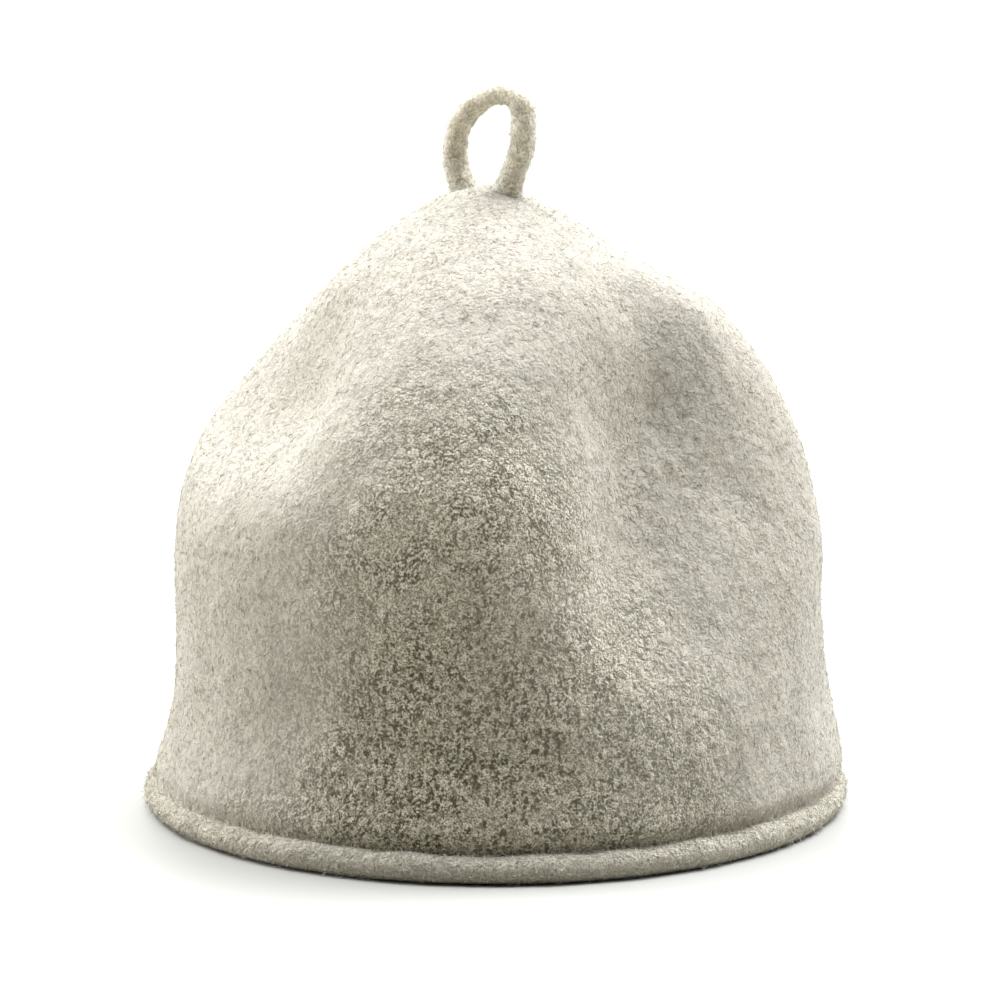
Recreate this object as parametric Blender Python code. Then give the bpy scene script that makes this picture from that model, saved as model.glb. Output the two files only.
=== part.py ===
"""Sauna hat of thick felted knit, standing on its rolled rim.

Three pieces: the crown, a hollow bell with two soft dents and a ridge between them; the rim roll,
the round edge that the hat rests on; and the hanging loop, a felted cord on the peak.
Metres, +Z up. The origin is on the ground under the middle of the rim. The front faces -Y.
"""

import math
from collections import namedtuple

import bmesh
import bpy
import numpy as np
from mathutils import Matrix, Vector

# Sizes that drive the rest
WALL = 0.0035
GAP = 0.0003
ROLL_RADIUS = 0.0041
RIM_RADIUS = 0.1005
CORD_RADIUS = 0.0036
LOOP_TURN = math.radians(35)
LOOP_CENTRE_X = -0.003

# How finely the pieces are divided
AROUND = 64
ROWS_OUTSIDE = 26
ROWS_INSIDE = 16
ROWS_EDGE = 3
ROLL_SIDES = 12
CORD_STEPS = 30
CORD_BEVEL_RESOLUTION = 3

# Small steps along and round the wall that give its slope
SLOPE_STEP = 0.0005
TURN_STEP = math.radians(0.5)
MERGE_DISTANCE = 0.00001

# Where the loop's feet are sought: from this share of the climb up to the peak, in so many steps
FOOT_REGION = 0.8
FOOT_REGION_STEPS = 400

# Outer form of the undented crown: half-widths from the axis at each height
Section = namedtuple("Section", "height left right front back")
SECTIONS = (
    Section(0.0075, 0.1031, 0.1034, 0.1028, 0.1028),
    Section(0.0200, 0.0989, 0.1014, 0.1000, 0.1000),
    Section(0.0360, 0.0955, 0.0988, 0.0970, 0.0970),
    Section(0.0580, 0.0949, 0.0966, 0.0955, 0.0955),
    Section(0.0800, 0.0945, 0.0963, 0.0952, 0.0952),
    Section(0.0980, 0.0912, 0.0930, 0.0922, 0.0922),
    Section(0.1160, 0.0834, 0.0869, 0.0850, 0.0850),
    Section(0.1340, 0.0697, 0.0764, 0.0735, 0.0735),
    Section(0.1490, 0.0548, 0.0631, 0.0592, 0.0592),
    Section(0.1610, 0.0422, 0.0427, 0.0425, 0.0425),
    Section(0.1710, 0.0311, 0.0256, 0.0280, 0.0280),
    Section(0.1785, 0.0185, 0.0130, 0.0158, 0.0158),
    Section(0.1822, 0.0100, 0.0050, 0.0075, 0.0075),
    Section(0.1835, 0.0025, -0.0025, 0.0, 0.0),
)

# Dents pressed in towards the heart of the hat, and ridges, whose depth is negative. Azimuths and
# leans are in degrees, azimuth from the front towards +X; the reaches run along the wall.
Fold = namedtuple("Fold", "name azimuth height lean depth left right up down")
FOLDS = (
    Fold("left scoop", -63, 0.128, 21, 0.0117, 0.063, 0.069, 0.045, 0.050),
    Fold("left crest", -37, 0.143, 9, -0.0055, 0.029, 0.039, 0.029, 0.046),
    Fold("left shelf", -69, 0.101, 1, -0.0014, 0.088, 0.039, 0.019, 0.029),
    Fold("right trough", 40, 0.115, -35, 0.0241, 0.065, 0.079, 0.062, 0.094),
    Fold("right pocket", 48, 0.147, -62, 0.0073, 0.032, 0.041, 0.028, 0.050),
    Fold("trough foot", 27, 0.083, -6, 0.0047, 0.027, 0.041, 0.067, 0.037),
    Fold("trough ridge", 17, 0.105, -18, -0.0017, 0.029, 0.028, 0.028, 0.030),
    Fold("brow ridge", -10, 0.161, 9, -0.0018, 0.038, 0.035, 0.026, 0.023),
)
HEART = np.array((0.0, 0.0, 0.080))
LEAST_TURNING_RADIUS = 0.025

# Centre line of the hanging loop in its own plane, from the left foot to the right one: how far
# to the right of the loop's middle and above the peak, with the cord's thickness there
Bend = namedtuple("Bend", "across above thickness")
LOOP_BENDS = (
    Bend(-0.0104, 0.0045, 1.03),
    Bend(-0.0110, 0.0095, 1.03),
    Bend(-0.0101, 0.0145, 1.00),
    Bend(-0.0074, 0.0195, 0.95),
    Bend(-0.0027, 0.0238, 0.86),
    Bend(0.0026, 0.0263, 0.80),
    Bend(0.0074, 0.0269, 0.80),
    Bend(0.0112, 0.0256, 0.90),
    Bend(0.0133, 0.0224, 1.00),
    Bend(0.0137, 0.0175, 1.03),
    Bend(0.0129, 0.0122, 1.03),
    Bend(0.0112, 0.0070, 1.03),
)
FOOT_SPREAD = 0.0080
FOOT_RISE = 0.0020

# Colours of the felt, as linear red, green and blue
Felt = namedtuple("Felt", "colour roughness")
CROWN_FELT = Felt((0.49, 0.46, 0.37, 1.0), 0.95)
ROLL_FELT = Felt((0.51, 0.47, 0.39, 1.0), 0.95)
LOOP_FELT = Felt((0.45, 0.41, 0.32, 1.0), 0.95)


def clear_scene():
    """Remove the objects that Blender starts with."""
    for thing in list(bpy.data.objects):
        bpy.data.objects.remove(thing, do_unlink=True)


def felt_material(name, felt):
    """Plain matt felt in one colour."""
    material = bpy.data.materials.new(name)
    material.use_nodes = True
    shader = material.node_tree.nodes["Principled BSDF"]
    shader.inputs["Base Color"].default_value = felt.colour
    shader.inputs["Roughness"].default_value = felt.roughness
    shader.inputs["Metallic"].default_value = 0.0
    material.diffuse_color = felt.colour
    return material


def section_rows():
    """Sections as height, middle x, middle y, half-width and half-depth, one row each.

    A row before the first and one past the peak give the curve its end slopes. The last one is
    the row under the peak seen from the far side, so the peak comes out round.
    """
    rows = np.array([
        (
            section.height,
            (section.right - section.left) / 2,
            (section.back - section.front) / 2,
            (section.right + section.left) / 2,
            (section.front + section.back) / 2,
        )
        for section in SECTIONS
    ])
    below = 2 * rows[0] - rows[1]
    beyond = rows[-2] * (1, 1, 1, -1, -1)
    return np.vstack((below, rows, beyond))


ROWS = section_rows()
CLIMBS = np.concatenate(((0.0,), np.cumsum(np.hypot(*np.diff(ROWS[:, (0, 3)], axis=0).T))))
CLIMBS -= CLIMBS[1]
PEAK_CLIMB = CLIMBS[-2]


def climb_of(height):
    """Way up the wall from the rim to a height."""
    return np.interp(height, ROWS[1:-1, 0], CLIMBS[1:-1])


def sections_at(climb):
    """Rows of the undented crown at ways up the wall, on a smooth curve through the sections."""
    low = np.clip(np.searchsorted(CLIMBS, climb, side="right") - 1, 1, len(ROWS) - 3)
    span = (CLIMBS[low + 1] - CLIMBS[low])[:, None]
    share = (climb - CLIMBS[low])[:, None] / span
    slopes = (ROWS[2:] - ROWS[:-2]) / (CLIMBS[2:] - CLIMBS[:-2])[:, None]
    start, end = ROWS[low], ROWS[low + 1]
    leave, arrive = slopes[low - 1] * span, slopes[low] * span
    bend = share * share * (3 - 2 * share)
    return (
        start * (1 - bend)
        + end * bend
        + leave * share * (1 - share) ** 2
        - arrive * share * share * (1 - share)
    )


def fold_depths(climb, azimuth, radius):
    """How far the folds press the wall in at each point."""
    depth = np.zeros_like(climb)
    turning = np.maximum(radius, LEAST_TURNING_RADIUS)
    for fold in FOLDS:
        turn = azimuth - math.radians(fold.azimuth)
        across = (np.mod(turn + math.pi, 2 * math.pi) - math.pi) * turning
        along = climb - climb_of(fold.height)
        lean = math.radians(fold.lean)
        across, along = (
            across * math.cos(lean) + along * math.sin(lean),
            along * math.cos(lean) - across * math.sin(lean),
        )
        across = across / np.where(across < 0, fold.left, fold.right)
        along = along / np.where(along < 0, fold.down, fold.up)
        depth += fold.depth * np.clip(1 - across**2 - along**2, 0, None) ** 2
    return depth


def outer_points(climb, azimuth):
    """Points of the crown's outer face, one row of x, y and z each."""
    height, middle_x, middle_y, half_width, half_depth = sections_at(climb).T
    points = np.stack(
        (
            middle_x + half_width * np.sin(azimuth),
            middle_y - half_depth * np.cos(azimuth),
            height,
        ),
        axis=1,
    )
    depth = fold_depths(climb, azimuth, np.hypot(points[:, 0], points[:, 1]))
    inward = HEART - points
    inward /= np.linalg.norm(inward, axis=1)[:, None]
    return points + inward * depth[:, None]


def outer_normals(climb, azimuth):
    """Directions straight out of the crown's outer face."""
    upward = outer_points(np.minimum(climb + SLOPE_STEP, PEAK_CLIMB), azimuth)
    upward -= outer_points(climb - SLOPE_STEP, azimuth)
    around = outer_points(climb, azimuth + TURN_STEP) - outer_points(climb, azimuth - TURN_STEP)
    normals = np.cross(around, upward)
    lengths = np.linalg.norm(normals, axis=1)
    at_peak = climb > PEAK_CLIMB - SLOPE_STEP
    normals[at_peak] = (0, 0, 1)
    lengths[at_peak] = 1
    return normals / lengths[:, None]


def crown_profile():
    """Stations of the crown's turned outline as (climb, share of the wall's depth).

    They run down the inside, across the lower edge and up the outside.
    """
    inside = [(PEAK_CLIMB * step / ROWS_INSIDE, 1.0) for step in range(ROWS_INSIDE, -1, -1)]
    edge = [(0.0, 1 - step / ROWS_EDGE) for step in range(1, ROWS_EDGE)]
    outside = [(PEAK_CLIMB * step / ROWS_OUTSIDE, 0.0) for step in range(ROWS_OUTSIDE + 1)]
    return inside + edge + outside


def seat_height(radius):
    """Height of the crown's lower edge where it straddles the rim roll, a gap above it."""
    return roll_height() + math.sqrt((ROLL_RADIUS + GAP) ** 2 - (radius - RIM_RADIUS) ** 2)


def turn_profile(shell, profile):
    """Turn the profile about Z. Each vertex keeps its climb and depth in layers of their own."""
    climb_layer = shell.verts.layers.float.new("climb")
    depth_layer = shell.verts.layers.float.new("depth")
    line = []
    for climb, depth in profile:
        radius = sections_at(np.array((climb,)))[0, 3] - depth * WALL * (climb < PEAK_CLIMB)
        vertex = shell.verts.new((0.0, -radius, climb - depth * WALL))
        vertex[climb_layer] = climb
        vertex[depth_layer] = depth
        line.append(vertex)
    edges = [shell.edges.new(pair) for pair in zip(line, line[1:])]
    bmesh.ops.spin(
        shell, geom=line + edges, axis=(0, 0, 1), cent=(0, 0, 0),
        angle=2 * math.pi, steps=AROUND, use_merge=True,
    )
    bmesh.ops.remove_doubles(shell, verts=shell.verts, dist=MERGE_DISTANCE)
    return climb_layer, depth_layer


def press_into_form(shell, climb_layer, depth_layer):
    """Move the turned shell's vertices to the crown's real form, dents and ridges included."""
    climb = np.array([vertex[climb_layer] for vertex in shell.verts], dtype=float)
    depth = np.array([vertex[depth_layer] for vertex in shell.verts], dtype=float)
    azimuth = np.array([math.atan2(vertex.co.x, -vertex.co.y) for vertex in shell.verts])
    points = outer_points(climb, azimuth)
    points -= outer_normals(climb, azimuth) * (depth * WALL)[:, None]
    for vertex, point, way in zip(shell.verts, points, climb):
        vertex.co = point
        if way == 0.0:
            vertex.co.z = seat_height(math.hypot(point[0], point[1]))


def make_crown():
    """Hollow felted bell, open below, whose lower edge straddles the rim roll."""
    shell = bmesh.new()
    climb_layer, depth_layer = turn_profile(shell, crown_profile())
    press_into_form(shell, climb_layer, depth_layer)
    return finish_mesh(shell, "crown", felt_material("crown_felt", CROWN_FELT))


def roll_height():
    """Height of the roll's centre: its underside is one flat facet, which lies on the ground."""
    return ROLL_RADIUS * math.cos(math.pi / ROLL_SIDES)


def make_rim_roll():
    """Ring of round felted edging with a narrow flat underside."""
    ring = bmesh.new()
    bmesh.ops.create_circle(ring, cap_ends=False, segments=ROLL_SIDES, radius=ROLL_RADIUS)
    stand_up = Matrix.Rotation(math.pi / 2, 4, "Y") @ Matrix.Rotation(math.pi / ROLL_SIDES, 4, "Z")
    place = Matrix.Translation((0, -RIM_RADIUS, roll_height()))
    bmesh.ops.transform(ring, matrix=place @ stand_up, verts=ring.verts)
    bmesh.ops.spin(
        ring, geom=ring.verts[:] + ring.edges[:], axis=(0, 0, 1), cent=(0, 0, 0),
        angle=2 * math.pi, steps=AROUND, use_merge=True,
    )
    bmesh.ops.remove_doubles(ring, verts=ring.verts, dist=MERGE_DISTANCE)
    return finish_mesh(ring, "rim_roll", felt_material("roll_felt", ROLL_FELT))


def loop_frame():
    """The loop's sideways direction and the peak that it stands on."""
    sideways = Vector((math.cos(LOOP_TURN), -math.sin(LOOP_TURN), 0))
    middle = Vector((LOOP_CENTRE_X, 0, SECTIONS[-1].height))
    return sideways, middle


def crown_below(x, y):
    """Point and normal of the crown's outer face nearest under a place close to the peak."""
    climbs = np.linspace(FOOT_REGION * PEAK_CLIMB, PEAK_CLIMB, FOOT_REGION_STEPS)
    azimuth = np.full_like(climbs, math.atan2(x - LOOP_CENTRE_X, -y))
    points = outer_points(climbs, azimuth)
    nearest = np.argmin(np.hypot(points[:, 0] - x, points[:, 1] - y))
    normal = outer_normals(climbs[nearest : nearest + 1], azimuth[:1])[0]
    return Vector(points[nearest]), Vector(normal)


def loop_foot(side):
    """Two points of the cord's centre line at a foot, square to the crown and a gap above it."""
    sideways, middle = loop_frame()
    place = middle + sideways * side * FOOT_SPREAD
    point, normal = crown_below(place.x, place.y)
    return point + normal * GAP, point + normal * (GAP + FOOT_RISE)


def loop_route():
    """Points of the loop's centre line, foot to foot, each with the cord's thickness there."""
    sideways, middle = loop_frame()
    left, right = loop_foot(-1), loop_foot(1)
    up = Vector((0, 0, 1))
    arch = [(middle + sideways * b.across + up * b.above, b.thickness) for b in LOOP_BENDS]
    start = [(left[0], 1.0), (left[1], 1.0)]
    end = [(right[1], 1.0), (right[0], 1.0)]
    return start + arch + end


def smooth_route(route, steps):
    """Even points on a smooth curve through the route."""
    points = np.array([(*point, thickness) for point, thickness in route])
    ways = np.concatenate(((0.0,), np.cumsum(np.linalg.norm(np.diff(points[:, :3], axis=0), axis=1))))
    slopes = np.gradient(points, ways, axis=0)
    way = np.linspace(0, ways[-1], steps + 1)
    low = np.clip(np.searchsorted(ways, way, side="right") - 1, 0, len(ways) - 2)
    span = (ways[low + 1] - ways[low])[:, None]
    share = (way - ways[low])[:, None] / span
    bend = share * share * (3 - 2 * share)
    return (
        points[low] * (1 - bend)
        + points[low + 1] * bend
        + slopes[low] * span * share * (1 - share) ** 2
        - slopes[low + 1] * span * share * share * (1 - share)
    )


def make_hanging_loop():
    """Felted cord bent to a loop, with both feet on the peak."""
    curve = bpy.data.curves.new("hanging_loop", "CURVE")
    curve.dimensions = "3D"
    curve.bevel_depth = CORD_RADIUS
    curve.bevel_resolution = CORD_BEVEL_RESOLUTION
    curve.use_fill_caps = True
    route = smooth_route(loop_route(), CORD_STEPS)
    spline = curve.splines.new("POLY")
    spline.points.add(len(route) - 1)
    for point, (x, y, z, thickness) in zip(spline.points, route):
        point.co = (x, y, z, 1)
        point.radius = thickness
    curve.materials.append(felt_material("loop_felt", LOOP_FELT))
    loop = bpy.data.objects.new("hanging_loop", curve)
    bpy.context.collection.objects.link(loop)
    return loop


def finish_mesh(shape, name, material):
    """Turn a bmesh into a smooth-shaded object with its faces pointing out."""
    bmesh.ops.recalc_face_normals(shape, faces=shape.faces)
    mesh = bpy.data.meshes.new(name)
    shape.to_mesh(mesh)
    shape.free()
    mesh.shade_smooth()
    mesh.materials.append(material)
    thing = bpy.data.objects.new(name, mesh)
    bpy.context.collection.objects.link(thing)
    return thing


def main():
    """Build the hat: its pieces hang on one empty at the origin."""
    clear_scene()
    hat = bpy.data.objects.new("sauna_hat", None)
    bpy.context.collection.objects.link(hat)
    for piece in (make_crown(), make_rim_roll(), make_hanging_loop()):
        piece.parent = hat


main()
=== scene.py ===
"""Sauna hat of thick fulled wool knit, standing on its rolled rim.

The crown, the rim roll and the hanging loop stand for the frame's solids. Each has its own felt, with
pebbled grain, gaps and fine curly fibres, and a nap of loose fibres lies over it. Painted shade darkens
the gaps, the grain's low spots, the crease over the roll and the roll's underside.
Metres, +Z up. The front of the hat faces -Y.
"""

import logging
import math
from dataclasses import dataclass, field
from enum import Enum
from typing import Sequence, Union

import bmesh
import bpy
import numpy as np
from mathutils import Matrix, Vector


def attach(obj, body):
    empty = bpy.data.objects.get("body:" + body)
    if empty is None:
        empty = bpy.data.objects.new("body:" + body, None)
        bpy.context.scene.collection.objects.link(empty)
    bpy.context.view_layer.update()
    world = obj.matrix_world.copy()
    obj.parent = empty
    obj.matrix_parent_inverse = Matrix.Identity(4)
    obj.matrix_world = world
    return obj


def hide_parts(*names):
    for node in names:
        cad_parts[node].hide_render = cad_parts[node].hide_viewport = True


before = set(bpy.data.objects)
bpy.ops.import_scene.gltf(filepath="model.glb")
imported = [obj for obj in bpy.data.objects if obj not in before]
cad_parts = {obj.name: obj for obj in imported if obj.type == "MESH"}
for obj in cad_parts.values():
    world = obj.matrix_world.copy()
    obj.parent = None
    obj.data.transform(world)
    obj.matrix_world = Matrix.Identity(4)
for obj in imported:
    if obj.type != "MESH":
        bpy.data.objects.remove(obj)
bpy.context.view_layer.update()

log = logging.getLogger("sauna_hat")

BODY = "root"
MERGE_DISTANCE = 0.00001
MIDDLE_GREY = (0.5, 0.5, 0.5)
WOOL_SPECULAR = 0.15
ROLL_RADIUS = 0.0041
ROLL_HEIGHT = 0.00396
RIM_RADIUS = 0.1005

Array = np.ndarray
Colour = tuple[float, float, float]
Socket = Union[bpy.types.NodeSocket, float, Sequence[float]]
Outline = Sequence[Union[bmesh.types.BMVert, bmesh.types.BMEdge]]


class Slot(Enum):
    """Material slots of the record."""

    CROWN = "crown_felt"
    ROLL = "roll_felt"
    LOOP = "loop_felt"


class Foot(Enum):
    """The loop's two feet, by the side of the loop's middle on which each stands."""

    LEFT = -1
    RIGHT = 1


@dataclass(frozen=True)
class Section:
    """One level of the undented crown: its height and its half-widths from the axis."""

    height: float
    left: float
    right: float
    depth: float


@dataclass(frozen=True)
class Fold:
    """A dent pressed in towards the heart of the hat, or a ridge, whose depth is negative.

    Azimuth and lean are in degrees, azimuth from the front towards +X. The reaches run along the wall.
    """

    azimuth: float
    height: float
    lean: float
    depth: float
    left: float
    right: float
    up: float
    down: float


SECTIONS = (
    Section(0.0075, 0.1031, 0.1034, 0.1028),
    Section(0.0200, 0.0989, 0.1014, 0.1000),
    Section(0.0360, 0.0955, 0.0988, 0.0970),
    Section(0.0580, 0.0949, 0.0966, 0.0955),
    Section(0.0800, 0.0945, 0.0963, 0.0952),
    Section(0.0980, 0.0912, 0.0930, 0.0922),
    Section(0.1160, 0.0834, 0.0869, 0.0850),
    Section(0.1340, 0.0697, 0.0764, 0.0735),
    Section(0.1490, 0.0548, 0.0631, 0.0592),
    Section(0.1610, 0.0422, 0.0427, 0.0425),
    Section(0.1710, 0.0311, 0.0256, 0.0280),
    Section(0.1785, 0.0185, 0.0130, 0.0158),
    Section(0.1822, 0.0100, 0.0050, 0.0075),
    Section(0.1835, 0.0025, -0.0025, 0.0),
)

LEFT_SCOOP = Fold(-63, 0.128, 21, 0.0117, 0.063, 0.069, 0.045, 0.050)
LEFT_CREST = Fold(-37, 0.143, 9, -0.0055, 0.029, 0.039, 0.029, 0.046)
LEFT_SHELF = Fold(-69, 0.101, 1, -0.0014, 0.088, 0.039, 0.019, 0.029)
RIGHT_TROUGH = Fold(40, 0.115, -35, 0.0241, 0.065, 0.079, 0.062, 0.094)
RIGHT_POCKET = Fold(48, 0.147, -62, 0.0073, 0.032, 0.041, 0.028, 0.050)
TROUGH_FOOT = Fold(27, 0.083, -6, 0.0047, 0.027, 0.041, 0.067, 0.037)
TROUGH_RIDGE = Fold(17, 0.105, -18, -0.0017, 0.029, 0.028, 0.028, 0.030)
BROW_RIDGE = Fold(-10, 0.161, 9, -0.0018, 0.038, 0.035, 0.026, 0.023)
# This soft flare over the roll is in the dressed part alone. The solids leave it out.
RIM_FLARE = Fold(95, 0.018, 0, -0.0015, 0.070, 0.070, 0.024, 0.022)
LEFT_FOLDS = (LEFT_SCOOP, LEFT_CREST, LEFT_SHELF)
RIGHT_FOLDS = (RIGHT_TROUGH, RIGHT_POCKET, TROUGH_FOOT, TROUGH_RIDGE)
FOLDS = (*LEFT_FOLDS, *RIGHT_FOLDS, BROW_RIDGE, RIM_FLARE)


@dataclass(frozen=True)
class Unevenness:
    """Smooth waves in random directions, which keep a hand-felted surface from being even."""

    seed: int
    waves: int
    shortest: float
    longest: float
    swing: float

    def heights(self, points: Array) -> Array:
        """How far the surface stands out at each point.

        Args:
            points: One row of x, y and z for each point.

        Returns:
            One height for each point.
        """
        random = np.random.default_rng(self.seed)
        directions = random.normal(size=(self.waves, 3))
        directions /= np.linalg.norm(directions, axis=1)[:, None]
        lengths = random.uniform(self.shortest, self.longest, self.waves)
        phases = random.uniform(0, 2 * math.pi, self.waves)
        turns = points @ (2 * math.pi * directions / lengths[:, None]).T + phases
        return np.sin(turns).sum(axis=1) * self.swing / math.sqrt(self.waves)


def eased(ends: tuple[Array, Array], slopes: tuple[Array, Array], share: Array) -> Array:
    """Rows on a smooth curve between two rows.

    Args:
        ends: The rows at its start and its end.
        slopes: How steeply it leaves and arrives, over the whole span.
        share: How far along it each row lies, from 0 to 1.

    Returns:
        One row for each share.
    """
    (first, last), (leave, arrive) = ends, slopes
    bend = share * share * (3 - 2 * share)
    return (
        first * (1 - bend)
        + last * bend
        + leave * share * (1 - share) ** 2
        - arrive * share * share * (1 - share)
    )


@dataclass(frozen=True)
class GrooveFade:
    """Where the crease over the roll closes: azimuth and spread in degrees, and how much of it goes."""

    azimuth: float
    spread: float
    share: float


@dataclass(frozen=True)
class HatForm:
    """The crown's outer face, as points at a way up the wall and an azimuth round it."""

    sections: tuple[Section, ...] = SECTIONS
    folds: tuple[Fold, ...] = FOLDS
    heart: Colour = (0.0, 0.0, 0.080)
    least_turning_radius: float = 0.025
    slope_step: float = 0.0005
    turn_step: float = math.radians(0.5)
    lumps: Unevenness = Unevenness(seed=11, waves=26, shortest=0.016, longest=0.034, swing=0.00030)
    pebbles: Unevenness = Unevenness(seed=12, waves=40, shortest=0.0045, longest=0.0080, swing=0.00012)
    groove_depth: float = 0.0026
    groove_climb: float = 0.0016
    groove_reach: float = 0.0030
    groove_fades: tuple[GrooveFade, ...] = (GrooveFade(-92, 42, 0.7), GrooveFade(98, 32, 0.6))
    calm_rim: float = 0.004
    near_peak_share: float = 0.8
    near_peak_steps: int = 400
    rows: Array = field(init=False, repr=False)
    climbs: Array = field(init=False, repr=False)

    def __post_init__(self) -> None:
        """Work out the rows of the sections and the way up the wall to each."""
        rows = np.array([
            (s.height, (s.right - s.left) / 2, 0.0, (s.right + s.left) / 2, s.depth)
            for s in self.sections
        ])
        below = 2 * rows[0] - rows[1]
        beyond = rows[-2] * (1, 1, 1, -1, -1)
        rows = np.vstack((below, rows, beyond))
        steps = np.hypot(*np.diff(rows[:, (0, 3)], axis=0).T)
        climbs = np.concatenate(((0.0,), np.cumsum(steps)))
        object.__setattr__(self, "rows", rows)
        object.__setattr__(self, "climbs", climbs - climbs[1])

    @property
    def peak_climb(self) -> float:
        """Way up the wall from the rim to the peak."""
        return float(self.climbs[-2])

    def climb_of(self, height: float) -> float:
        """Way up the wall from the rim to a height."""
        return float(np.interp(height, self.rows[1:-1, 0], self.climbs[1:-1]))

    def sections_at(self, climb: Array) -> Array:
        """Rows of the undented crown, on a smooth curve through the sections.

        Args:
            climb: Ways up the wall.

        Returns:
            Height, middle x, middle y, half-width and half-depth, one row for each way.
        """
        rows, climbs = self.rows, self.climbs
        low = np.clip(np.searchsorted(climbs, climb, side="right") - 1, 1, len(rows) - 3)
        span = (climbs[low + 1] - climbs[low])[:, None]
        share = (climb - climbs[low])[:, None] / span
        slopes = (rows[2:] - rows[:-2]) / (climbs[2:] - climbs[:-2])[:, None]
        return eased((rows[low], rows[low + 1]), (slopes[low - 1] * span, slopes[low] * span), share)

    def fold_depths(self, climb: Array, azimuth: Array, radius: Array) -> Array:
        """How far the folds press the wall in.

        Args:
            climb: Ways up the wall.
            azimuth: Azimuths in radians.
            radius: Distances from the axis.

        Returns:
            One depth for each point.
        """
        depth = np.zeros_like(climb)
        turning = np.maximum(radius, self.least_turning_radius)
        for fold in self.folds:
            turn = azimuth - math.radians(fold.azimuth)
            across = (np.mod(turn + math.pi, 2 * math.pi) - math.pi) * turning
            along = climb - self.climb_of(fold.height)
            lean = math.radians(fold.lean)
            across, along = (
                across * math.cos(lean) + along * math.sin(lean),
                along * math.cos(lean) - across * math.sin(lean),
            )
            across = across / np.where(across < 0, fold.left, fold.right)
            along = along / np.where(along < 0, fold.down, fold.up)
            depth += fold.depth * np.clip(1 - across**2 - along**2, 0, None) ** 2
        return depth

    def plain_points(self, climb: Array, azimuth: Array) -> Array:
        """Points of the outer face with its folds, before it is made uneven.

        Args:
            climb: Ways up the wall.
            azimuth: Azimuths in radians.

        Returns:
            One row of x, y and z for each point.
        """
        height, middle_x, middle_y, half_width, half_depth = self.sections_at(climb).T
        points = np.stack(
            (
                middle_x + half_width * np.sin(azimuth),
                middle_y - half_depth * np.cos(azimuth),
                height,
            ),
            axis=1,
        )
        depth = self.fold_depths(climb, azimuth, np.hypot(points[:, 0], points[:, 1]))
        inward = np.array(self.heart) - points
        inward /= np.linalg.norm(inward, axis=1)[:, None]
        return points + inward * depth[:, None]

    def plain_normals(self, climb: Array, azimuth: Array) -> Array:
        """Directions straight out of the folded face.

        Args:
            climb: Ways up the wall.
            azimuth: Azimuths in radians.

        Returns:
            One unit row for each point, straight up at the peak.
        """
        step, turn = self.slope_step, self.turn_step
        upward = self.plain_points(np.minimum(climb + step, self.peak_climb), azimuth)
        upward -= self.plain_points(climb - step, azimuth)
        around = self.plain_points(climb, azimuth + turn) - self.plain_points(climb, azimuth - turn)
        normals = np.cross(around, upward)
        lengths = np.linalg.norm(normals, axis=1)
        at_peak = climb > self.peak_climb - step
        normals[at_peak] = (0, 0, 1)
        lengths[at_peak] = 1
        return normals / lengths[:, None]

    def groove(self, climb: Array, azimuth: Array) -> Array:
        """How deep the crease over the rim roll is. It all but closes on the hat's two sides.

        Args:
            climb: Ways up the wall.
            azimuth: Azimuths in radians.

        Returns:
            One depth for each point.
        """
        reach = np.exp(-(((climb - self.groove_climb) / self.groove_reach) ** 2))
        depth = self.groove_depth * reach
        for fade in self.groove_fades:
            aside = np.mod(np.degrees(azimuth) - fade.azimuth + 180, 360) - 180
            depth = depth * (1 - fade.share * np.exp(-((aside / fade.spread) ** 2)))
        return depth

    def face(self, climb: Array, azimuth: Array) -> tuple[Array, Array]:
        """The finished outer face: folds, crease and unevenness.

        Args:
            climb: Ways up the wall.
            azimuth: Azimuths in radians.

        Returns:
            Points and outward directions, one row of x, y and z each.
        """
        points = self.plain_points(climb, azimuth)
        normals = self.plain_normals(climb, azimuth)
        rise = self.lumps.heights(points) + self.pebbles.heights(points)
        calm = np.clip(climb / self.calm_rim, 0, 1)
        rise = rise * calm - self.groove(climb, azimuth)
        return points + normals * rise[:, None], normals

    def near_peak(self, x: float, y: float, centre_x: float) -> tuple[Vector, Vector]:
        """Point and direction of the folded face nearest under a place close to the peak.

        Args:
            x: Place along X.
            y: Place along Y.
            centre_x: Where the wall's uppermost rings are centred.

        Returns:
            The point and the outward direction there.
        """
        lowest = self.near_peak_share * self.peak_climb
        climbs = np.linspace(lowest, self.peak_climb, self.near_peak_steps)
        azimuth = np.full_like(climbs, math.atan2(x - centre_x, -y))
        points = self.plain_points(climbs, azimuth)
        nearest = int(np.argmin(np.hypot(points[:, 0] - x, points[:, 1] - y)))
        normal = self.plain_normals(climbs[nearest : nearest + 1], azimuth[:1])[0]
        return Vector(points[nearest]), Vector(normal)


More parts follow.
